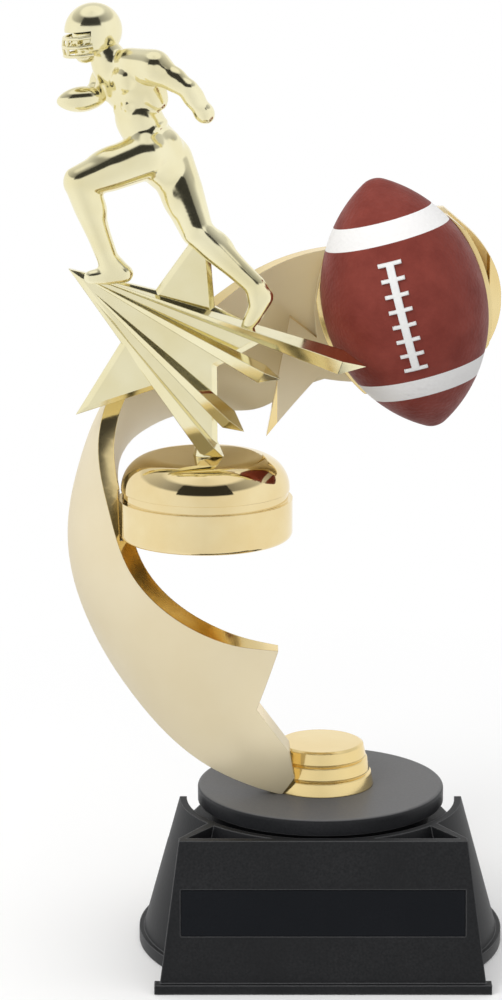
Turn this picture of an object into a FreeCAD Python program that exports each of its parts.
import FreeCAD, Part
import math
import os
import re
import Sketcher

# Football trophy in millimetres. The floor is z = 0, the base axis is z, and the front faces -y.

V = FreeCAD.Vector
UP = V(0, 0, 1)
BACK = V(0, 1, 0)

SIZES = [
    # round base shell
    ("base_radius", "52.4"),
    ("flange_height", "3.5"),
    ("flange_lip", "1.4"),
    ("rim_radius", "40.5"),
    ("rim_height", "42"),
    ("rim_wall", "2"),
    ("deck_height", "36"),
    ("deck_thickness", "3"),
    ("shell_wall", "2.8"),
    ("shoulder_height", "28"),
    ("shoulder_radius", "36.5"),
    # flat front panel and its plate
    ("panel_reach", "47"),
    ("panel_half_bottom", "45.6"),
    ("panel_half_top", "40"),
    ("panel_wall", "2.5"),
    ("panel_foot_height", "2.6"),
    ("panel_foot_lip", "1.2"),
    ("wing_wall", "2"),
    ("wing_inset", "1"),
    ("plate_width", "79"),
    ("plate_height", "12.9"),
    ("plate_bottom", "15.6"),
    ("plate_thickness", "0.9"),
    ("plate_recess", "0.8"),
    ("plate_clearance", "0.15"),
    # disc plugged into the top
    ("disc_radius", "35.3"),
    ("disc_thickness", "4.5"),
    ("disc_rise", "4.2"),
    ("disc_round", "0.9"),
    ("neck_radius", "31"),
    ("spigot_radius", "18"),
    ("spigot_clearance", "0.15"),
    ("spigot_reach", "2"),
    # weight, cover and screws
    ("weight_radius", "25"),
    ("weight_height", "22"),
    ("weight_bore", "10"),
    ("weight_chamfer", "1.5"),
    ("cover_thickness", "2"),
    ("cover_lift", "1"),
    ("cover_clearance", "0.6"),
    ("post_radius", "4"),
    ("post_circle", "31"),
    ("post_root", "0.5"),
    ("screw_radius", "1.5"),
    ("screw_head_radius", "2.8"),
    ("screw_head_height", "0.8"),
    ("screw_length", "12"),
    ("hole_clearance", "0.3"),
    # bolt that carries the riser
    ("bolt_radius", "3"),
    ("bolt_clearance", "0.05"),
    ("bolt_head_radius", "5.7"),
    ("bolt_head_height", "4"),
    ("washer_radius", "9"),
    ("washer_thickness", "1.6"),
    ("turn_gap", "0.05"),
    # stepped foot of the riser
    ("foot_radius", "15.2"),
    ("foot_top_radius", "11.8"),
    ("foot_height", "12.4"),
    ("foot_groove", "0.45"),
    ("insert_radius", "5"),
    ("insert_length", "9"),
    ("bolt_end_gap", "1"),
    # ribbon
    ("ribbon_radius", "65"),
    ("ribbon_width", "38"),
    ("ribbon_thickness", "5"),
    ("ribbon_crown", "6"),
    ("ribbon_lift", "8.7"),
    # cup that carries the topper
    ("platform_radius", "24.5"),
    ("platform_height", "23.5"),
    ("platform_lip", "2"),
    ("platform_wall", "2.4"),
    ("platform_rise", "0.4"),
    ("platform_front", "6"),
    ("platform_seat", "7.7"),
    ("groove_height", "11.4"),
    ("groove_width", "2.4"),
    ("groove_depth", "1.2"),
    ("dome_step", "0.8"),
    ("dome_flat", "0.4"),
    # ball
    ("ball_radius", "23"),
    ("ball_half_length", "36.1"),
    ("ball_tip_round", "6"),
    ("ball_wall", "2.2"),
    ("ball_tilt", "14.7"),
    ("ball_out", "23"),
    ("ball_rise", "6.8"),
    ("ball_depth", "4"),
    ("lace_length", "31"),
    ("lace_width", "2.2"),
    ("lace_height", "0.9"),
    ("lace_turn", "4"),
    ("stitch_length", "6.6"),
    ("stitch_width", "1.0"),
    # banner behind the ball
    ("band_thickness", "3.6"),
    ("band_gap", "1.2"),
    ("band_lap", "4.625"),
    ("ball_seat_gap", "0.4"),
    ("ball_seat_wall", "1.5"),
    ("ball_seat_depth", "5"),
    ("band_sweep_radius", "48"),
    ("band_screw_out", "4"),
    ("ball_screw_radius", "2"),
    ("boss_radius", "4.5"),
    ("boss_length", "10.4"),
    ("ball_screw_bite", "9.2"),
    # topper
    ("star_radius", "34.9"),
    ("star_waist", "14.4"),
    ("star_thickness", "3"),
    ("star_bevel", "0.9"),
    ("star_lean", "2.2"),
    ("star_out", "8.6"),
    ("stem_radius", "3.4"),
    ("stem_height", "5"),
    ("stud_radius", "2.5"),
    ("stud_reach", "14"),
    ("nut_radius", "4.6"),
    ("nut_height", "4"),
    ("nut_washer_radius", "7"),
    ("nut_washer_thickness", "1"),
    # runner
    ("runner_height", "76.8"),
    ("runner_out", "1.6"),
    ("runner_drop", "3.55"),
    ("helmet_radius", "7.8"),
    ("chest_radius", "8.2"),
    ("waist_radius", "6.2"),
    ("hip_radius", "7.8"),
    ("thigh_radius", "6"),
    ("calf_radius", "4.4"),
    ("arm_radius", "3.6"),
    ("pad_radius", "5"),
    ("held_ball_radius", "3.4"),
    ("held_ball_half_length", "7"),
]

# Path of the ribbon, from the foot upwards: angle round the loop in degrees, the change from ribbon_radius as a
# share of it, the depth behind the base axis, the gain in width as a share of ribbon_radius and the twist in
# degrees. Depths are in the unit that brings the upper end band_lap behind the banner's front face.
RIBBON_PATH = [
    (-96, -0.146, -0.169, 0.046, 6),
    (-116, -0.171, -0.169, 0.031, 8),
    (-137, -0.14, -0.123, 0.015, 32),
    (-156, -0.077, -0.046, 0, 48),
    (-173, -0.017, 0.046, 0, 62),
    (-188, 0, 0.138, 0, 76),
    (-203, 0, 0.231, 0, 100),
    (-219, -0.062, 0.308, 0, 126),
    (-236, -0.165, 0.385, 0, 148),
    (-253, -0.152, 0.446, 0, 164),
    (-264, -0.123, 0.477, 0, 174),
    (-273, -0.1, 0.505, 0, 178),
    (-284, -0.08, 0.525, 0, 180),
]
RIBBON_END = RIBBON_PATH[-2]
# Swallowtail at the ribbon's lower end: x and height from the loop's centre as shares of ribbon_radius.
RIBBON_TAIL = [(-0.19, -0.483), (-0.283, -0.723), (-0.142, -0.914), (-0.092, -1.2)]

STITCHES = 8
POSTS = 4
POST_LINE = 45
WING_LINE = 38
FOOT_TIERS = 3
STAR_POINTS = 5
STAR_STEP = math.radians(360 / STAR_POINTS)
# Screw heads as shares of the shank's radius.
HEAD_WIDTH = 1.9
HEAD_HEIGHT = 1.2

doc = FreeCAD.newDocument("football_trophy")
sheet = doc.addObject("Spreadsheet::Sheet", "Sizes")
for row, (alias, text) in enumerate(SIZES, start=1):
    sheet.set("A%d" % row, alias)
    sheet.set("B%d" % row, text)
    sheet.setAlias("B%d" % row, alias)
doc.recompute()

ALIASES = [alias for alias, text in SIZES]
WORD = re.compile(r"[a-z][a-z_]*")


def bound(text):
    """Write a formula of sheet names so that any object can read it."""
    return WORD.sub(lambda found: "Sizes." + found.group() if found.group() in ALIASES else found.group(), text)


def size(text):
    """Value of a formula of sheet names."""
    return float(sheet.evalExpression(text))


def bind(item, **formulas):
    """Tie properties of a document object to formulas of the sheet."""
    for name, text in formulas.items():
        item.setExpression(name.replace("__", "."), bound(text))


def new_body(label):
    body = doc.addObject("PartDesign::Body", label)
    body.Label = label
    return body


def origin_feature(body, role):
    return [item for item in body.Origin.OriginFeatures if item.Role == role][0]


def outline(body, name, plane, corners, height="0"):
    """Closed straight-sided sketch whose corners are formulas of the sheet."""
    sketch = body.newObject("Sketcher::SketchObject", name)
    sketch.AttachmentSupport = [(origin_feature(body, plane), "")]
    sketch.MapMode = "FlatFace"
    if height != "0":
        bind(sketch, AttachmentOffset__Base__z=height)
    places = [(size(x), size(y)) for x, y in corners]
    count = len(corners)
    for index in range(count):
        start, end = places[index], places[(index + 1) % count]
        sketch.addGeometry(Part.LineSegment(V(start[0], start[1], 0), V(end[0], end[1], 0)), False)
    for index in range(count):
        sketch.addConstraint(Sketcher.Constraint("Coincident", index, 2, (index + 1) % count, 1))
    for index in range(count):
        for kind, axis, text, place in (("DistanceX", -2, corners[index][0], places[index][0]),
                                        ("DistanceY", -1, corners[index][1], places[index][1])):
            if text == "0":
                sketch.addConstraint(Sketcher.Constraint("PointOnObject", index, 1, axis))
                continue
            if place >= 0:
                rule = Sketcher.Constraint(kind, -1, 1, index, 1, place)
            else:
                rule = Sketcher.Constraint(kind, index, 1, -1, 1, -place)
                text = "-(%s)" % text
            number = sketch.addConstraint(rule)
            sketch.setExpression("Constraints[%d]" % number, bound(text))
    return sketch


def revolve(body, name, sketch, angle=360, backwards=False):
    feature = body.newObject("PartDesign::Revolution", name)
    feature.Profile = sketch
    feature.ReferenceAxis = (sketch, ["V_Axis"])
    feature.Angle = angle
    feature.Reversed = backwards
    return feature


def groove(body, name, sketch):
    feature = body.newObject("PartDesign::Groove", name)
    feature.Profile = sketch
    feature.ReferenceAxis = (sketch, ["V_Axis"])
    feature.Angle = 360
    return feature


def wedge(body, name, cut, low, high, half_low, half_high, near, far):
    """Block between two heights, set out along -y, with half widths and y reaches given at both heights."""
    kind = "PartDesign::SubtractiveWedge" if cut else "PartDesign::AdditiveWedge"
    feature = body.newObject(kind, name)
    feature.Placement = FreeCAD.Placement(V(0, 0, 0), FreeCAD.Rotation(V(1, 0, 0), 90))
    bind(feature, Ymin=low, Ymax=high, Xmin="-(%s)" % half_low, Xmax=half_low, X2min="-(%s)" % half_high,
         X2max=half_high, Zmin=near[0], Zmax=far[0], Z2min=near[1], Z2max=far[1])
    return feature


def round_edges(body, name, base, radius, chosen):
    """Fillet the edges of the last feature that the chooser accepts."""
    doc.recompute()
    names = ["Edge%d" % number for number, edge in enumerate(base.Shape.Edges, start=1) if chosen(edge)]
    feature = body.newObject("PartDesign::Fillet", name)
    feature.Base = (base, names)
    bind(feature, Radius=radius)
    return feature


def circle_at(radius, height):
    """Chooser for a full circle of a given radius and height."""
    def chosen(edge):
        curve = edge.Curve
        if not isinstance(curve, Part.Circle):
            return False
        return abs(curve.Radius - radius) < 1e-3 and abs(curve.Center.z - height) < 1e-3
    return chosen


def cylinder(name, radius, height, bottom, x="0", y="0"):
    item = doc.addObject("Part::Cylinder", name)
    bind(item, Radius=radius, Height=height, Placement__Base__x=x, Placement__Base__y=y,
         Placement__Base__z=bottom)
    return item


def cut(name, base, tool):
    item = doc.addObject("Part::Cut", name)
    item.Base = base
    item.Tool = tool
    item.Label = name
    return item


def fuse(name, *items):
    item = doc.addObject("Part::MultiFuse", name)
    item.Shapes = list(items)
    item.Label = name
    return item


def solid_feature(name, shape):
    """Document object for a form that only a made shape can give."""
    item = doc.addObject("Part::Feature", name)
    item.Label = name
    item.Shape = shape
    item.Placement = FreeCAD.Placement()
    return item


def polyhedron(corners, faces):
    """Flat-faced solid from corner points and faces that list them."""
    sheets = []
    for face in faces:
        ring = [corners[index] for index in face]
        sheets.append(Part.Face(Part.makePolygon(ring + [ring[0]])))
    solid = Part.Solid(Part.Shell(sheets))
    if solid.Volume < 0:
        solid.reverse()
    return solid


def prism_along_y(points, front, back):
    """Prism seen from the front: outline points are (x, z)."""
    ring = [V(x, front, z) for x, z in points]
    return Part.Face(Part.makePolygon(ring + [ring[0]])).extrude(BACK * (back - front))


# heights and places shared by several pieces

DISC_TOP = "rim_height + disc_rise"
DISC_BOTTOM = DISC_TOP + " - disc_thickness"
FOOT_PLANE = DISC_TOP + " + turn_gap"
COVER_TOP = "cover_lift + cover_thickness"
DECK_BOTTOM = "deck_height - deck_thickness"
CONE_BOTTOM = "base_radius - flange_lip"
CONE_SLOPE = "(%s - rim_radius) / (rim_height - flange_height)" % CONE_BOTTOM
PANEL_SLOPE = "(panel_reach - rim_radius) / rim_height"
LOOP_HEIGHT = FOOT_PLANE + " + ribbon_radius + ribbon_lift"
PLATFORM_X = "platform_radius - ribbon_radius + platform_seat"
PLATFORM_BOTTOM = LOOP_HEIGHT + " + platform_rise"
PLATFORM_TOP = PLATFORM_BOTTOM + " + platform_height"
DOME_BOTTOM = "groove_height + groove_width"
DOME_ROUND = "platform_height - groove_height - groove_width - dome_flat"


def cone_radius(height):
    """Outer radius of the shell at a height, as a formula."""
    return "%s - (%s - flange_height) * %s" % (CONE_BOTTOM, height, CONE_SLOPE)


def panel_reach(height, behind="0"):
    """How far the panel's face stands in front of the axis at a height, as a formula."""
    return "panel_reach - (%s) * %s - (%s)" % (height, PANEL_SLOPE, behind)


foot_plane = size(FOOT_PLANE)
loop_height = size(LOOP_HEIGHT)
platform_x = size(PLATFORM_X)
platform_y = -size("platform_front")
platform_bottom = size(PLATFORM_BOTTOM)
platform_top = size(PLATFORM_TOP)


# base shell

def make_base_shell():
    body = new_body("base_shell")
    inner_bottom = "base_radius - flange_lip - shell_wall"
    inner_top = cone_radius(DECK_BOTTOM) + " - shell_wall"
    front = outline(body, "front_section", "XZ_Plane", [
        (inner_bottom, "0"),
        ("base_radius", "0"),
        ("base_radius", "flange_height"),
        (CONE_BOTTOM, "flange_height"),
        ("rim_radius", "rim_height"),
        ("rim_radius - rim_wall", "rim_height"),
        ("rim_radius - rim_wall", "deck_height"),
        ("spigot_radius + spigot_clearance", "deck_height"),
        ("spigot_radius + spigot_clearance", DECK_BOTTOM),
        (inner_top, DECK_BOTTOM),
    ])
    revolve(body, "front_half", front, 180, True)
    back = outline(body, "back_section", "XZ_Plane", [
        (inner_bottom, "0"),
        ("base_radius", "0"),
        ("base_radius", "flange_height"),
        (CONE_BOTTOM, "flange_height"),
        (cone_radius("shoulder_height"), "shoulder_height"),
        ("shoulder_radius", "deck_height"),
        ("spigot_radius + spigot_clearance", "deck_height"),
        ("spigot_radius + spigot_clearance", DECK_BOTTOM),
        ("shoulder_radius - shell_wall", DECK_BOTTOM),
        (cone_radius("shoulder_height") + " - shell_wall", "shoulder_height - deck_thickness"),
    ])
    revolve(body, "back_half", back, 180, False)
    beyond = "base_radius + panel_wall"
    wedge(body, "front_cut", True, "-panel_wall", "rim_height + panel_wall", beyond, beyond,
          (panel_reach("-panel_wall"), panel_reach("rim_height + panel_wall")), (beyond, beyond))
    wedge(body, "panel", False, "0", "rim_height", "panel_half_bottom", "panel_half_top",
          (panel_reach("0", "panel_wall"), panel_reach("rim_height", "panel_wall")),
          (panel_reach("0"), panel_reach("rim_height")))
    foot_reach = "panel_reach + panel_foot_lip"
    foot_half = "panel_half_bottom + panel_foot_lip"
    wedge(body, "panel_foot", False, "0", "panel_foot_height", foot_half, foot_half,
          ("panel_reach - panel_wall", "panel_reach - panel_wall"), (foot_reach, foot_reach))
    wing(body)
    recess_top = "plate_bottom + plate_height"
    wedge(body, "plate_recess_cut", True, "plate_bottom", recess_top, "plate_width / 2", "plate_width / 2",
          (panel_reach("plate_bottom", "plate_recess"), panel_reach(recess_top, "plate_recess")),
          (panel_reach("plate_bottom", "-panel_wall"), panel_reach(recess_top, "-panel_wall")))
    posts(body)
    return body


def wing(body):
    """Thin side walls that run back from the panel's ends to the round shell."""
    def wall(half, reach, radius):
        # the wall leaves the panel's back corner and meets the round shell on the wing line
        corner = "(%s)" % half
        front = "(%s - panel_wall)" % reach
        inner_x = "(%s) * cos(%d)" % (radius, WING_LINE)
        inner_y = "(%s) * sin(%d)" % (radius, WING_LINE)
        return [("-%s" % corner, "-%s" % front), ("-(%s + wing_wall / 2)" % inner_x, "-%s" % inner_y),
                ("-(%s - wing_wall / 2)" % inner_x, "-(%s + wing_wall)" % inner_y),
                ("-(%s - wing_wall)" % corner, "-%s" % front)]
    low = "panel_foot_height + %s" % COVER_TOP
    inside = cone_radius(low) + " - wing_wall"
    bottom = outline(body, "wing_bottom", "XY_Plane",
                     wall("panel_half_bottom - wing_inset", panel_reach(low), inside), low)
    top = outline(body, "wing_top", "XY_Plane",
                  wall("panel_half_top", "rim_radius", "rim_radius - wing_wall / 2"), "rim_height")
    loft = body.newObject("PartDesign::AdditiveLoft", "wing")
    loft.Profile = bottom
    loft.Sections = [top]
    loft.Ruled = True
    doc.recompute()
    pair = body.newObject("PartDesign::Mirrored", "wings")
    pair.Originals = [loft]
    pair.MirrorPlane = (origin_feature(body, "YZ_Plane"), [""])
    body.Tip = pair


def posts(body):
    """Screw posts that hang from the deck to the cover."""
    for number, kind, radius, bottom, top in (
            (1, "PartDesign::AdditiveCylinder", "post_radius", COVER_TOP, DECK_BOTTOM + " + post_root"),
            (2, "PartDesign::SubtractiveCylinder", "screw_radius", COVER_TOP, COVER_TOP + " + screw_length")):
        feature = body.newObject(kind, "post_step_%d" % number)
        bind(feature, Radius=radius, Height="%s - (%s)" % (top, bottom),
             Placement__Base__x="post_circle * cos(%d)" % POST_LINE,
             Placement__Base__y="post_circle * sin(%d)" % POST_LINE, Placement__Base__z=bottom)
        doc.recompute()
        ring = body.newObject("PartDesign::PolarPattern", "post_ring_%d" % number)
        ring.Originals = [feature]
        ring.Axis = (origin_feature(body, "Z_Axis"), [""])
        ring.Angle = 360
        ring.Occurrences = POSTS
        body.Tip = ring
        doc.recompute()


def make_name_plate():
    body = new_body("name_plate")
    low = "plate_bottom + plate_clearance"
    high = "plate_bottom + plate_height - plate_clearance"
    half = "plate_width / 2 - plate_clearance"
    back = "plate_recess"
    front = "plate_recess - plate_thickness"
    wedge(body, "plate", False, low, high, half, half, (panel_reach(low, back), panel_reach(high, back)),
          (panel_reach(low, front), panel_reach(high, front)))
    return body


def make_top_disc():
    body = new_body("top_disc")
    bore = "bolt_radius + hole_clearance"
    section = outline(body, "section", "XZ_Plane", [
        (bore, DISC_TOP),
        ("disc_radius", DISC_TOP),
        ("disc_radius", DISC_BOTTOM),
        ("neck_radius", DISC_BOTTOM),
        ("neck_radius", "deck_height"),
        ("spigot_radius", "deck_height"),
        ("spigot_radius", DECK_BOTTOM + " - spigot_reach"),
        (bore, DECK_BOTTOM + " - spigot_reach"),
    ])
    turned = revolve(body, "turned", section)
    round_edges(body, "soft_edge", turned, "disc_round", circle_at(size("disc_radius"), size(DISC_TOP)))
    return body


# pieces inside the base

def make_base_weight():
    body = new_body("base_weight")
    top = COVER_TOP + " + weight_height"
    section = outline(body, "section", "XZ_Plane", [
        ("weight_bore", COVER_TOP),
        ("weight_radius", COVER_TOP),
        ("weight_radius", top + " - weight_chamfer"),
        ("weight_radius - weight_chamfer", top),
        ("weight_bore", top),
    ])
    revolve(body, "casting", section)
    return body


def post_places():
    """Formulas for the places of the screw posts."""
    turns = [POST_LINE + 360 / POSTS * number for number in range(POSTS)]
    return [("post_circle * cos(%g)" % turn, "post_circle * sin(%g)" % turn) for turn in turns]


def make_bottom_cover():
    radius = "base_radius - flange_lip - shell_wall - %s * %s - cover_clearance" % (COVER_TOP, CONE_SLOPE)
    disc = cylinder("cover_disc", radius, "cover_thickness", "cover_lift")
    block = doc.addObject("Part::Box", "cover_front")
    reach = panel_reach(COVER_TOP, "panel_wall + cover_clearance")
    bind(block, Length="2 * base_radius", Width="base_radius", Height="cover_thickness + cover_lift",
         Placement__Base__x="-base_radius", Placement__Base__y="-base_radius - (%s)" % reach)
    flat = cut("cover_flat", disc, block)
    bore = "screw_radius + hole_clearance"
    holes = [cylinder("cover_hole_%d" % number, bore, "cover_thickness", "cover_lift", x, y)
             for number, (x, y) in enumerate(post_places())]
    return cut("bottom_cover", flat, fuse("cover_holes", *holes))


def make_cover_screws():
    screws = []
    for number, (x, y) in enumerate(post_places()):
        head = cylinder("screw_head_%d" % number, "screw_head_radius", "screw_head_height",
                        "cover_lift - screw_head_height", x, y)
        shank = cylinder("screw_shank_%d" % number, "screw_radius", "screw_length", "cover_lift", x, y)
        screws.append(fuse("cover_screw_%d" % number, head, shank))
    group = doc.addObject("Part::Compound", "cover_screws")
    group.Links = screws
    group.Label = "cover_screws"
    return group


BOLT_SEAT = DECK_BOTTOM + " - spigot_reach"


def make_bolt_washer():
    low = BOLT_SEAT + " - washer_thickness"
    disc = cylinder("washer_disc", "washer_radius", "washer_thickness", low)
    hole = cylinder("washer_hole", "bolt_radius + hole_clearance", "washer_thickness", low)
    return cut("bolt_washer", disc, hole)


def make_riser_bolt():
    head_top = BOLT_SEAT + " - washer_thickness"
    head = doc.addObject("Part::Prism", "bolt_head")
    head.Polygon = 6
    bind(head, Circumradius="bolt_head_radius", Height="bolt_head_height",
         Placement__Base__z=head_top + " - bolt_head_height")
    reach = "%s + insert_length - bolt_end_gap - (%s)" % (FOOT_PLANE, head_top)
    shank = cylinder("bolt_shank", "bolt_radius", reach, head_top)
    return fuse("riser_bolt", head, shank)


# riser

def make_foot_insert():
    shell = cylinder("insert_shell", "insert_radius", "insert_length", FOOT_PLANE)
    bore = cylinder("insert_bore", "bolt_radius + bolt_clearance", "insert_length", FOOT_PLANE)
    return cut("foot_insert", shell, bore)


def depth_unit():
    """What one unit of depth on the ribbon's path measures."""
    return size("ball_depth + ball_radius + band_gap + band_lap") / RIBBON_END[2]


def ribbon_section(angle, change, depth, widen, twist):
    """Section across the ribbon: crowned outside, flat inside, square edges."""
    turn = math.radians(angle)
    roll = math.radians(twist)
    unit = size("ribbon_radius")
    out = V(math.cos(turn), 0, math.sin(turn))
    middle = V(0, depth * depth_unit(), loop_height) + out * (unit + change * unit)
    across = out * -math.cos(roll) - BACK * math.sin(roll)
    outward = out * math.sin(roll) - BACK * math.cos(roll)
    half = across * (size("ribbon_width") / 2 + widen * unit / 2)
    inward = outward * -size("ribbon_thickness")
    upper = middle + half
    lower = middle - half
    crown = Part.Arc(lower, middle + outward * size("ribbon_crown"), upper).toShape()
    return Part.Wire([
        crown,
        Part.makeLine(upper, upper + inward),
        Part.makeLine(upper + inward, lower + inward),
        Part.makeLine(lower + inward, lower),
    ])


def ribbon_foot():
    """Stepped round foot: three tapering tiers with a fine groove between them."""
    step = size("foot_height") / FOOT_TIERS
    taper = (size("foot_radius") - size("foot_top_radius")) / FOOT_TIERS
    groove_size = size("foot_groove")
    ring = [V(0, 0, foot_plane)]
    for tier in range(FOOT_TIERS):
        wide = size("foot_radius") - tier * taper
        bottom = foot_plane + tier * step
        ring.append(V(wide, 0, bottom + groove_size * (tier > 0)))
        ring.append(V(wide - taper * 0.6, 0, bottom + step - groove_size))
        ring.append(V(wide - taper - groove_size, 0, bottom + step))
    ring.append(V(0, 0, foot_plane + size("foot_height")))
    return Part.Face(Part.makePolygon(ring + [ring[0]])).revolve(V(0, 0, 0), UP, 360)


def ribbon_tail_cut():
    """Swallowtail notch at the lower end, seen from the front."""
    reach = size("ribbon_radius")
    tail = [(x * reach, loop_height + z * reach) for x, z in RIBBON_TAIL]
    points = tail + [(reach, tail[-1][1]), (reach, loop_height), (tail[0][0], loop_height)]
    return prism_along_y(points, -reach, size("foot_radius"))


def below_foot():
    """Block under the plane that the foot stands on."""
    reach = size("base_radius") * 2
    return Part.makeBox(2 * reach, 2 * reach, reach, V(-reach, -reach, foot_plane - reach))


def platform_blank():
    """Outer form of the cup, for its seat in the ribbon."""
    place = V(platform_x, platform_y, platform_bottom)
    band = Part.makeCylinder(size("platform_radius"), size(DOME_BOTTOM), place, UP)
    dome = Part.makeCylinder(size("platform_radius - dome_step"), size("platform_height"), place, UP)
    top = [edge for edge in dome.Edges if circle_at(size("platform_radius - dome_step"), platform_top)(edge)]
    return band.fuse(dome.makeFillet(size(DOME_ROUND), top))


def ribbon_end():
    """Middle of the ribbon's upper end."""
    angle, change, depth = RIBBON_END[:3]
    unit = size("ribbon_radius")
    turn = math.radians(angle)
    radius = unit + change * unit
    return V(radius * math.cos(turn), depth * depth_unit(), loop_height + radius * math.sin(turn))


def band_screw_places():
    """Screws through the ribbon's upper end into the banner: x and z of each."""
    end = ribbon_end()
    step = size("ribbon_width") / 4
    return [(end.x + size("band_screw_out"), end.z - step), (end.x + size("band_screw_out"), end.z + step)]


def band_screw_seat():
    """Depth at which the heads of the band screws sit in the ribbon's back."""
    return ribbon_end().y + size("ribbon_crown") / 2


def along_y(radius, x, z, front, back):
    return Part.makeCylinder(radius, back - front, V(x, front, z), BACK)


def make_ribbon_riser(band):
    ribbon = Part.makeLoft([ribbon_section(*station) for station in RIBBON_PATH], True, False)
    for tool in (ribbon_tail_cut(), below_foot(), platform_blank(), band.Shape):
        ribbon = ribbon.cut(tool)
    bore = Part.makeCylinder(size("insert_radius"), size("insert_length"), V(0, 0, foot_plane), UP)
    shape = ribbon.fuse(ribbon_foot()).cut(bore)
    for x, z in band_screw_places():
        shape = shape.cut(along_y(size("screw_radius"), x, z, 0, size("base_radius")))
        seat = along_y(size("screw_radius") * HEAD_WIDTH, x, z, band_screw_seat(), size("base_radius"))
        shape = shape.cut(seat)
    return solid_feature("ribbon_riser", shape.removeSplitter())


# ball and its banner

ball_centre = V(size("ball_out"), size("ball_depth"),
                loop_height + size("ribbon_radius") * (1 + RIBBON_END[1]) + size("ball_rise"))
BALL_TURN = FreeCAD.Rotation(BACK, -size("ball_tilt"))


def turned_on_x(face):
    """Solid of revolution about the x axis."""
    solid = face.revolve(V(0, 0, 0), V(1, 0, 0), 360)
    if solid.Volume < 0:
        solid.reverse()
    return solid


def lemon_face(long, wide, tip):
    """Half section of a ball: one wide arc that runs into a small round at both ends."""
    bow = ((long - tip) ** 2 + wide ** 2 - tip ** 2) / (2 * (wide - tip))
    lean = V(long - tip, bow - wide, 0)
    meet = V(long - tip, 0, 0) + lean * (tip / lean.Length)
    bend = lean.normalize() + V(1, 0, 0)
    half = V(long - tip, 0, 0) + bend * (tip / bend.Length)
    edges = [
        Part.makeLine(V(-long, 0, 0), V(long, 0, 0)),
        Part.Arc(V(long, 0, 0), half, meet).toShape(),
        Part.Arc(meet, V(0, wide, 0), V(-meet.x, meet.y, 0)).toShape(),
        Part.Arc(V(-meet.x, meet.y, 0), V(-half.x, half.y, 0), V(-long, 0, 0)).toShape(),
    ]
    return Part.Face(Part.Wire(edges))


def ball_form(grow):
    """Ball blown up or down by an amount, in place: long axis up, leaning to the left."""
    solid = turned_on_x(lemon_face(size("ball_half_length") + grow, size("ball_radius") + grow,
                                   size("ball_tip_round") + grow))
    solid.Placement = FreeCAD.Placement(ball_centre, BALL_TURN.multiply(FreeCAD.Rotation(BACK, -90)))
    return solid


def ball_half(front):
    """Box that holds the front or the back half of the ball."""
    reach = size("ball_half_length") + size("boss_radius")
    low = V(ball_centre.x - reach, ball_centre.y - reach if front else ball_centre.y, ball_centre.z - reach)
    return Part.makeBox(2 * reach, reach, 2 * reach, low)


def band_back():
    """Depth of the banner's front face behind the ball."""
    return ball_centre.y + size("ball_radius") + size("band_gap")


# Angles in degrees at which the banner's plan arcs end, from the x axis.
BAND_FAR_END = 155
BAND_NEAR_END = 18
# Banner outline from the front, as shares of ball_radius from the ball's centre.
BAND_TAIL = [(-1.68, -1.7), (-1.39, -0.27), (-1.05, -0.57)]
BAND_LEFT = [(-1.05, -0.57), (-1.08, -0.1), (-0.95, 0.45)]
BAND_TOP = [(-0.95, 0.45), (-0.3, 0.85), (0.52, 1.04)]
BAND_RIGHT = [(0.8, 0.82), (1.2, 0.06), (1.02, -0.6)]
BAND_BOTTOM = [(0.52, -0.96), (-0.35, -1.17), (-1.04, -1.07)]


def on_circle(centre, radius, degrees):
    turn = math.radians(degrees)
    return centre + V(math.cos(turn), math.sin(turn), 0) * radius


def band_face(x):
    """Depth of the banner's front face at a place along it, left of the ball's centre."""
    sweep = size("band_sweep_radius")
    return band_back() - sweep + math.sqrt(sweep ** 2 - (ball_centre.x - x) ** 2)


def band_strip():
    """Banner in plan: a wide sweep on the left that tightens round the ball on the right."""
    sweep = size("band_sweep_radius")
    hug = size("ball_radius") + 2 * size("band_gap")
    back = V(ball_centre.x, band_back(), 0)
    wide = back - BACK * sweep
    tight = back - BACK * hug
    edges = []
    ends = []
    for grow in (0, size("band_thickness")):
        rear = back + BACK * grow
        far = on_circle(wide, sweep + grow, BAND_FAR_END)
        near = on_circle(tight, hug + grow, BAND_NEAR_END)
        edges.append(Part.Arc(far, on_circle(wide, sweep + grow, (90 + BAND_FAR_END) / 2), rear).toShape())
        edges.append(Part.Arc(rear, on_circle(tight, hug + grow, (90 + BAND_NEAR_END) / 2), near).toShape())
        ends.append((far, near))
    edges.append(Part.makeLine(ends[0][0], ends[1][0]))
    edges.append(Part.makeLine(ends[0][1], ends[1][1]))
    return Part.Face(Part.Wire(Part.sortEdges(edges)[0])).extrude(UP * (2 * loop_height))


def band_outline():
    """Block with the banner's outline: pointed tail on the left, rounded end on the right."""
    unit = size("ball_radius")

    def spot(share):
        return V(ball_centre.x + share[0] * unit, -size("base_radius"), ball_centre.z + share[1] * unit)

    def line(start, end):
        return Part.makeLine(spot(start), spot(end))

    arcs = [Part.Arc(*[spot(share) for share in stretch]).toShape()
            for stretch in (BAND_LEFT, BAND_TOP, BAND_RIGHT, BAND_BOTTOM)]
    edges = [
        line(BAND_TAIL[0], BAND_TAIL[1]),
        line(BAND_TAIL[1], BAND_TAIL[2]),
        arcs[0],
        arcs[1],
        line(BAND_TOP[-1], BAND_RIGHT[0]),
        arcs[2],
        line(BAND_RIGHT[-1], BAND_BOTTOM[0]),
        arcs[3],
        line(BAND_BOTTOM[-1], BAND_TAIL[0]),
    ]
    return Part.Face(Part.Wire(edges)).extrude(BACK * (3 * size("base_radius")))


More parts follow.
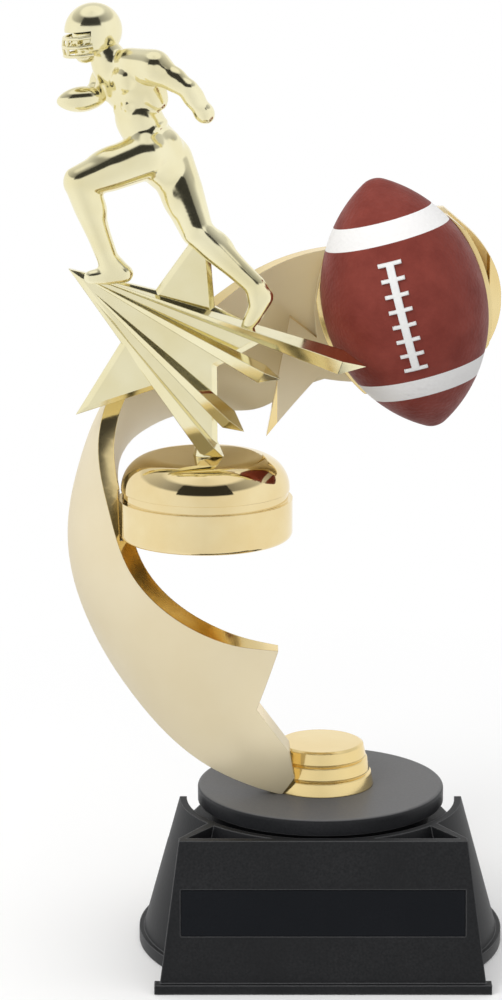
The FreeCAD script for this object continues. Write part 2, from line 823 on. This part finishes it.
def ball_seat():
    """Shallow bowl that the back of the ball lies in."""
    inside = ball_form(size("ball_seat_gap"))
    outside = ball_form(size("ball_seat_gap") + size("ball_seat_wall"))
    reach = size("ball_half_length") * 2
    low = ball_centre + V(-reach / 2, size("ball_seat_depth"), -reach / 2)
    return outside.cut(inside).common(Part.makeBox(reach, reach, reach, low))


def make_ball_band():
    """Banner: a swept strip with the ball's seat, trimmed to its outline as seen from the front."""
    shape = band_strip().fuse(ball_seat()).cut(ball_form(size("ball_seat_gap"))).common(band_outline())
    far = size("base_radius")
    for x, z in band_screw_places():
        shape = shape.cut(along_y(size("screw_radius"), x, z, band_screw_tip(), far))
    hole = along_y(size("ball_screw_radius + hole_clearance"), ball_centre.x, ball_centre.z, ball_centre.y, far)
    return solid_feature("ball_band", shape.cut(hole).removeSplitter())


def band_screw_tip():
    """Depth of the blind holes that the band screws bite in."""
    return band_face(band_screw_places()[0][0]) + size("band_thickness") / 3


def make_football_front():
    shell = ball_form(0).cut(ball_form(-size("ball_wall")))
    return solid_feature("football_front", shell.common(ball_half(True)))


def make_football_back(band):
    shell = ball_form(0).cut(ball_form(-size("ball_wall"))).common(ball_half(False))
    inner = ball_centre.y + size("ball_radius - boss_length")
    seat = ball_centre.y + size("ball_radius + ball_seat_gap")
    boss = along_y(size("boss_radius"), ball_centre.x, ball_centre.z, inner, seat)
    core = along_y(size("ball_screw_radius"), ball_centre.x, ball_centre.z, inner, seat)
    shape = shell.fuse(boss).cut(core).cut(band.Shape)
    solids = sorted(shape.Solids, key=lambda solid: solid.Volume)
    return solid_feature("football_back", solids[-1])


def make_football_laces():
    """Raised lacing: one long strip and evenly spaced cross stitches that follow the ball's surface."""
    long = size("lace_length")
    reach = size("ball_half_length")
    bars = [Part.makeBox(size("lace_width"), reach, long, V(-size("lace_width") / 2, -reach, -long / 2))]
    pitch = (long - size("stitch_width")) / (STITCHES - 1)
    for number in range(STITCHES):
        low = V(-size("stitch_length") / 2, -reach, -long / 2 + number * pitch)
        bars.append(Part.makeBox(size("stitch_length"), reach, size("stitch_width"), low))
    lattice = bars[0].multiFuse(bars[1:])
    spin = FreeCAD.Rotation(UP, -size("lace_turn"))
    lattice.Placement = FreeCAD.Placement(ball_centre, BALL_TURN.multiply(spin))
    skin = ball_form(size("lace_height")).cut(ball_form(0))
    return solid_feature("football_laces", skin.common(lattice).removeSplitter())


def make_screws_from_behind(name, places, radius, seat, tip):
    """Screws along y with their heads on the back."""
    screws = []
    head_radius = radius * HEAD_WIDTH
    head_height = radius * HEAD_HEIGHT
    for x, z in places:
        shank = along_y(radius, x, z, tip, seat)
        head = along_y(head_radius, x, z, seat, seat + head_height)
        screws.append(shank.fuse(head).removeSplitter())
    return solid_feature(name, Part.makeCompound(screws) if len(screws) > 1 else screws[0])


# cup and its fasteners

def make_figure_platform():
    body = new_body("figure_platform")
    bore = "stud_radius + hole_clearance"
    bind(body, Placement__Base__x=PLATFORM_X, Placement__Base__y="-platform_front",
         Placement__Base__z=PLATFORM_BOTTOM)
    outside = outline(body, "outside", "XZ_Plane", [
        (bore, "0"),
        ("platform_radius", "0"),
        ("platform_radius", "groove_height"),
        ("platform_radius - groove_depth", "groove_height"),
        ("platform_radius - groove_depth", DOME_BOTTOM),
        ("platform_radius - dome_step", DOME_BOTTOM),
        ("platform_radius - dome_step", "platform_height"),
        (bore, "platform_height"),
    ])
    turned = revolve(body, "turned", outside)
    top = round_edges(body, "dome", turned, DOME_ROUND,
                      circle_at(size("platform_radius - dome_step"), size("platform_height")))
    round_edges(body, "lip", top, "platform_lip", circle_at(size("platform_radius"), 0))
    doc.recompute()
    inner = "platform_radius - platform_wall"
    roof = "platform_height - platform_wall"
    hollow = outline(body, "hollow", "XZ_Plane", [
        ("stud_radius", "0"),
        (inner, "0"),
        (inner, "groove_height"),
        (inner + " - groove_depth", DOME_BOTTOM),
        ("platform_radius - dome_step - (%s)" % DOME_ROUND, roof),
        ("stud_radius", roof),
    ])
    groove(body, "hollow_cut", hollow)
    return body


NUT_SEAT = PLATFORM_TOP + " - platform_wall"


def make_topper_washer():
    low = NUT_SEAT + " - nut_washer_thickness"
    disc = cylinder("nut_washer_disc", "nut_washer_radius", "nut_washer_thickness", low,
                    PLATFORM_X, "-platform_front")
    hole = cylinder("nut_washer_hole", "stud_radius + hole_clearance", "nut_washer_thickness", low,
                    PLATFORM_X, "-platform_front")
    return cut("topper_washer", disc, hole)


def make_topper_nut():
    low = NUT_SEAT + " - nut_washer_thickness - nut_height"
    blank = doc.addObject("Part::Prism", "nut_blank")
    blank.Polygon = 6
    bind(blank, Circumradius="nut_radius", Height="nut_height", Placement__Base__x=PLATFORM_X,
         Placement__Base__y="-platform_front", Placement__Base__z=low)
    hole = cylinder("nut_hole", "stud_radius", "nut_height", low, PLATFORM_X, "-platform_front")
    return cut("topper_nut", blank, hole)


def make_topper_stud():
    item = cylinder("topper_stud", "stud_radius", "stud_reach + stem_height / 2",
                    PLATFORM_TOP + " - stud_reach", PLATFORM_X, "-platform_front")
    item.Label = "topper_stud"
    return item


# topper

star_centre = V(platform_x - size("star_out"), platform_y,
                platform_top + size("star_radius") * math.sin(STAR_STEP))
star_lean = math.radians(size("star_lean"))
apex_turn = 2 * STAR_STEP + star_lean
ray_apex = star_centre + V(math.cos(apex_turn), 0, math.sin(apex_turn)) * size("star_radius")

# Comet rays from the star's left point, as shares of star_radius: reach to the right, fall, forward swing,
# half depth, height and roll of the flat top, and last how far along the ray it is widest.
RAYS = [
    (2.35, -0.72, -0.37, 0.133, 0.123, 0.05, 0.92),
    (1.68, -0.84, -0.27, 0.1, 0.105, 0.032, 0.92),
    (1.39, -1.28, -0.18, 0.105, 0.09, 0.055, 0.92),
    (1.24, -1.53, -0.06, 0.096, 0.128, 0.032, 0.93),
]
RIDGE_SHARE = 0.3
# The star's right point is short, so that the longest ray covers it.
RIGHT_POINT_SHARE = 0.8


def ray(reach, fall, swing, half_depth, height, roll, widest):
    """Spear with a flat top that leans forward: pointed at both ends, widest near the far one."""
    unit = size("star_radius")
    run = V(reach, swing, fall) * unit
    along = V(reach, 0, fall).normalize()
    above = V(-along.z, 0, along.x) * unit
    spine = ray_apex + run * widest
    side = BACK * (half_depth * unit)
    corners = [
        ray_apex,
        spine + side + above * roll,
        spine - side,
        spine - side * RIDGE_SHARE - above * height,
        ray_apex + run,
    ]
    return polyhedron(corners, [(0, 2, 1), (0, 3, 2), (0, 1, 3), (4, 1, 2), (4, 2, 3), (4, 3, 1)])


def star_ring(depth, share):
    """Star outline at a depth, drawn in towards its centre by a share."""
    ring = []
    for number in range(2 * STAR_POINTS):
        radius = share * (size("star_waist") if number % 2 else size("star_radius"))
        if number == 0:
            radius *= RIGHT_POINT_SHARE
        turn = STAR_STEP / 2 * number + star_lean
        ring.append(star_centre + V(radius * math.cos(turn), depth, radius * math.sin(turn)))
    return Part.makePolygon(ring + [ring[0]])


def star_plate():
    """Flat star with bevelled edges on its front."""
    half = size("star_thickness") / 2
    bevel = size("star_bevel")
    drawn_in = 1 - 2 * bevel / size("star_waist")
    rings = [star_ring(half, 1), star_ring(bevel - half, 1), star_ring(-half, drawn_in)]
    return Part.makeLoft(rings, True, True)


def make_star_stand():
    place = V(platform_x, platform_y, platform_top)
    stem = Part.makeCone(size("stem_radius"), size("stem_radius") * 0.7, size("stem_height"), place, UP)
    pieces = [star_plate(), stem] + [ray(*sizes) for sizes in RAYS]
    reach = 4 * size("star_radius")
    trim = Part.makeBox(2 * reach, 2 * reach, reach, V(-reach, -reach, platform_top - reach))
    shape = pieces[0].multiFuse(pieces[1:]).cut(trim)
    bore = Part.makeCylinder(size("stud_radius"), size("stem_height") / 2, place, UP)
    return solid_feature("star_stand", shape.cut(bore).removeSplitter())


# Runner's joints as x, y and z from a place just under the star's left point, for a figure of this height.
POSE_HEIGHT = 76.8
POSE = {
    "head": V(5.9, 0, 69),
    "neck": V(10, 0, 62),
    "chest": V(15.9, 0, 54),
    "waist": V(19.4, 0, 44),
    "pelvis": V(21.8, 0, 37.2),
    "near_hip": V(21.2, -4.5, 35.8),
    "near_knee": V(2, -6.5, 28.4),
    "near_ankle": V(9.6, -4.5, 6.4),
    "near_heel": V(14.4, -4.5, 2.7),
    "near_toe": V(0.4, -4.5, 1.5),
    "far_hip": V(24.4, 4.5, 33.4),
    "far_knee": V(34, -6.5, 15),
    "far_ankle": V(50, -8, 0),
    "far_heel": V(53, -8, -3),
    "far_toe": V(47.8, -8, -11.2),
    "near_shoulder": V(22.6, -8.5, 60.2),
    "near_elbow": V(31.8, -11.5, 54.3),
    "near_hand": V(36, -9.5, 47.6),
    "far_shoulder": V(10.6, 7.5, 60),
    "far_elbow": V(6, 7.5, 51.5),
    "far_hand": V(3.2, 1, 51),
    "held_ball": V(2.6, 0, 50.4),
}


def joint(name):
    place = ray_apex + V(size("runner_out"), 0, -size("runner_drop"))
    return place + POSE[name] * (size("runner_height") / POSE_HEIGHT)


def limb(stations):
    """Smooth limb through places with a radius at each, closed by round ends."""
    places = [place for place, radius in stations]
    wires = []
    for index, (place, radius) in enumerate(stations):
        before = places[max(index - 1, 0)]
        after = places[min(index + 1, len(places) - 1)]
        wires.append(Part.Wire(Part.makeCircle(radius, place, after - before)))
    core = Part.makeLoft(wires, True, False)
    ends = [Part.makeSphere(radius, place) for place, radius in (stations[0], stations[-1])]
    return core.multiFuse(ends)


def between(start, end, share):
    return start + (end - start) * share


def leg(hip, knee, ankle, heel, toe):
    thigh = size("thigh_radius")
    calf = size("calf_radius")
    upper = limb([(hip, thigh), (between(hip, knee, 0.45), thigh * 0.95), (knee, calf * 0.92)])
    lower = limb([(knee, calf * 0.92), (between(knee, ankle, 0.3), calf),
                  (between(knee, ankle, 0.7), calf * 0.72), (ankle, calf * 0.58)])
    foot = limb([(heel, calf * 0.52), (between(heel, toe, 0.5), calf * 0.55), (toe, calf * 0.42)])
    instep = limb([(ankle, calf * 0.58), (between(ankle, between(heel, toe, 0.4), 0.6), calf * 0.52),
                   (between(heel, toe, 0.45), calf * 0.34)])
    return [upper, lower, foot, instep]


def arm(shoulder, elbow, hand):
    thick = size("arm_radius")
    upper = limb([(shoulder, thick), (between(shoulder, elbow, 0.5), thick * 1.05), (elbow, thick * 0.8)])
    lower = limb([(elbow, thick * 0.8), (between(elbow, hand, 0.35), thick * 0.86), (hand, thick * 0.6)])
    fist = Part.makeSphere(thick * 0.95, hand)
    return [upper, lower, fist]


def oval(place, normal, wide, deep):
    """Oval section across the trunk: wide along y, deep across it."""
    edge = Part.Ellipse(place + BACK * wide, place + normal.cross(BACK).normalize() * deep, place)
    return Part.Wire(edge.toShape())


def trunk():
    chest = size("chest_radius")
    rows = [("pelvis", size("hip_radius"), 0.85), ("waist", size("waist_radius"), 0.88),
            ("chest", chest * 1.05, 0.82), ("neck", chest * 0.85, 0.66)]
    wires = []
    for index, (name, wide, share) in enumerate(rows):
        before = joint(rows[max(index - 1, 0)][0])
        after = joint(rows[min(index + 1, len(rows) - 1)][0])
        wires.append(oval(joint(name), after - before, wide, wide * share))
    pads = [Part.makeSphere(size("pad_radius"), joint(name)) for name in ("near_shoulder", "far_shoulder")]
    seat = Part.makeSphere(size("hip_radius") * 0.9, joint("pelvis"))
    return [Part.makeLoft(wires, True, False), seat] + pads


def helmet():
    """Round helmet open at the front, with a bar across the opening."""
    radius = size("helmet_radius")
    middle = joint("head")
    shell = Part.makeSphere(radius, middle)
    opening = Part.makeBox(radius, 1.3 * radius, radius * 0.8, middle + V(-1.42, -0.65, -0.75) * radius)
    face = Part.makeSphere(radius * 0.72, middle + V(-0.18, 0, -0.2) * radius)
    bars = []
    for drop in (-0.3, -0.62):
        ring = Part.makeTorus(radius * 0.86, radius * 0.09, middle + V(-0.16, 0, drop) * radius, UP)
        keep = Part.makeBox(radius, 2 * radius, radius, middle + V(-1.2, -1, drop - 0.5) * radius)
        bars.append(ring.common(keep))
    neck = limb([(joint("neck"), radius * 0.5), (between(joint("neck"), middle, 0.5), radius * 0.5),
                 (middle, radius * 0.5)])
    return [shell.cut(opening), face, neck] + bars


def held_ball():
    wide = size("held_ball_radius")
    solid = turned_on_x(lemon_face(size("held_ball_half_length"), wide, wide * 0.3))
    solid.Placement = FreeCAD.Placement(joint("held_ball"), FreeCAD.Rotation(BACK, -6))
    return solid


def make_runner_figure(stand):
    near = [joint("near_" + name) for name in ("hip", "knee", "ankle", "heel", "toe")]
    far = [joint("far_" + name) for name in ("hip", "knee", "ankle", "heel", "toe")]
    pieces = trunk() + leg(*near) + leg(*far) + helmet() + [held_ball()]
    for side in ("near_", "far_"):
        pieces += arm(*[joint(side + name) for name in ("shoulder", "elbow", "hand")])
    shape = pieces[0].multiFuse(pieces[1:]).cut(stand.Shape)
    solids = sorted(shape.Solids, key=lambda solid: solid.Volume)
    return solid_feature("runner_figure", solids[-1])


# assembly

base_shell = make_base_shell()
name_plate = make_name_plate()
top_disc = make_top_disc()
base_weight = make_base_weight()
bottom_cover = make_bottom_cover()
cover_screws = make_cover_screws()
bolt_washer = make_bolt_washer()
riser_bolt = make_riser_bolt()
foot_insert = make_foot_insert()
figure_platform = make_figure_platform()
doc.recompute()

ball_band = make_ball_band()
ribbon_riser = make_ribbon_riser(ball_band)
football_front = make_football_front()
football_back = make_football_back(ball_band)
football_laces = make_football_laces()
band_screws = make_screws_from_behind("band_screws", band_screw_places(), size("screw_radius"),
                                      band_screw_seat(), band_screw_tip())
ball_screw = make_screws_from_behind("ball_screw", [(ball_centre.x, ball_centre.z)], size("ball_screw_radius"),
                                     band_back() + size("band_thickness"),
                                     ball_centre.y + size("ball_radius - ball_screw_bite"))
topper_washer = make_topper_washer()
topper_nut = make_topper_nut()
star_stand = make_star_stand()
topper_stud = make_topper_stud()
runner_figure = make_runner_figure(star_stand)
doc.recompute()

NODES = [base_shell, name_plate, top_disc, base_weight, bottom_cover, cover_screws, bolt_washer, riser_bolt,
         foot_insert, figure_platform, ball_band, ribbon_riser, football_front, football_back, football_laces,
         band_screws, ball_screw, topper_washer, topper_nut, star_stand, topper_stud, runner_figure]

for item in doc.Objects:
    if "Invalid" in item.State or "Error" in item.State:
        raise RuntimeError("%s failed: %s" % (item.Name, item.State))
for node in NODES:
    if node.Shape.isNull() or not node.Shape.isValid() or node.Shape.Volume <= 0:
        raise RuntimeError("%s has no sound shape" % node.Label)

os.makedirs("parts", exist_ok=True)
for node in NODES:
    node.Shape.exportStep("parts/%s.step" % node.Label)
    print("%-16s %2d solid(s) %10.1f mm3" % (node.Label, len(node.Shape.Solids), node.Shape.Volume))
